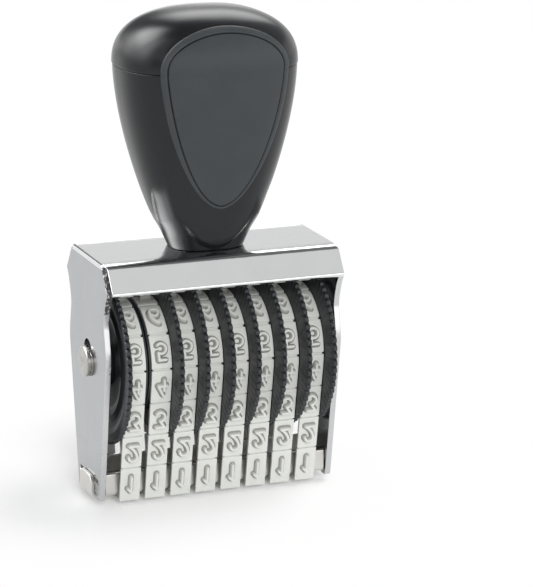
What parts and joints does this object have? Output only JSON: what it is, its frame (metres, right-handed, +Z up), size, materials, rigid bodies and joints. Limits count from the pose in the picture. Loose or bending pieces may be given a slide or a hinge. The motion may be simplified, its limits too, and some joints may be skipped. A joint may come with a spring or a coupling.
{
  "type": "numbering machine",
  "caption": "Hand numbering stamp: folded chrome frame, knurled wheels carrying rubber figure bands over a foot, and a black pear-shaped knob.",
  "frame": {"origin": "on the surface that the stamp stands on, under the middle of the frame", "axes": "+X to the right along the wheel axle, +Y to the back, +Z up through the knob"},
  "size_m": [0.0676, 0.0444, 0.1285],
  "materials": {
    "polished_chrome": "polished chrome plate on folded sheet steel",
    "satin_nickel": "dull nickel plate",
    "turned_steel": "turned, nickel plated",
    "zinc_steel": "zinc plated",
    "black_gloss": "smooth semi-gloss moulding",
    "black_satin": "fine satin texture",
    "black_matt": "moulded, slightly satin",
    "band_rubber": "pale warm grey moulded rubber, matt"
  },
  "bodies": {
    "root": {"frame_shell": "polished_chrome", "foot_channel": "satin_nickel", "axle_pin": "turned_steel", "axle_end_cap": "turned_steel", "axle_spacer_left": "turned_steel", "axle_spacer_right": "turned_steel", "handle_body": "black_gloss", "handle_cap": "black_gloss", "label_plate_front": "black_satin", "label_plate_rear": "black_satin", "handle_screw": "zinc_steel", "handle_washer": "zinc_steel", "band_1": "band_rubber", "band_2": "band_rubber", "band_3": "band_rubber", "band_4": "band_rubber", "band_5": "band_rubber", "band_6": "band_rubber", "band_7": "band_rubber", "band_8": "band_rubber"},
    "figure_wheel_1": {"wheel_1": "black_matt"},
    "figure_wheel_2": {"wheel_2": "black_matt"},
    "figure_wheel_3": {"wheel_3": "black_matt"},
    "figure_wheel_4": {"wheel_4": "black_matt"},
    "figure_wheel_5": {"wheel_5": "black_matt"},
    "figure_wheel_6": {"wheel_6": "black_matt"},
    "figure_wheel_7": {"wheel_7": "black_matt"},
    "figure_wheel_8": {"wheel_8": "black_matt"}
  },
  "joints": [
    {"name": "wheel_1_spin", "type": "hinge", "parent": "root", "child": "figure_wheel_1", "pos_m": [0, 0, 0.0374], "axis": [1, 0, 0], "continuous": true},
    {"name": "wheel_2_spin", "type": "hinge", "parent": "root", "child": "figure_wheel_2", "pos_m": [0, 0, 0.0374], "axis": [1, 0, 0], "continuous": true},
    {"name": "wheel_3_spin", "type": "hinge", "parent": "root", "child": "figure_wheel_3", "pos_m": [0, 0, 0.0374], "axis": [1, 0, 0], "continuous": true},
    {"name": "wheel_4_spin", "type": "hinge", "parent": "root", "child": "figure_wheel_4", "pos_m": [0, 0, 0.0374], "axis": [1, 0, 0], "continuous": true},
    {"name": "wheel_5_spin", "type": "hinge", "parent": "root", "child": "figure_wheel_5", "pos_m": [0, 0, 0.0374], "axis": [1, 0, 0], "continuous": true},
    {"name": "wheel_6_spin", "type": "hinge", "parent": "root", "child": "figure_wheel_6", "pos_m": [0, 0, 0.0374], "axis": [1, 0, 0], "continuous": true},
    {"name": "wheel_7_spin", "type": "hinge", "parent": "root", "child": "figure_wheel_7", "pos_m": [0, 0, 0.0374], "axis": [1, 0, 0], "continuous": true},
    {"name": "wheel_8_spin", "type": "hinge", "parent": "root", "child": "figure_wheel_8", "pos_m": [0, 0, 0.0374], "axis": [1, 0, 0], "continuous": true}
  ]
}
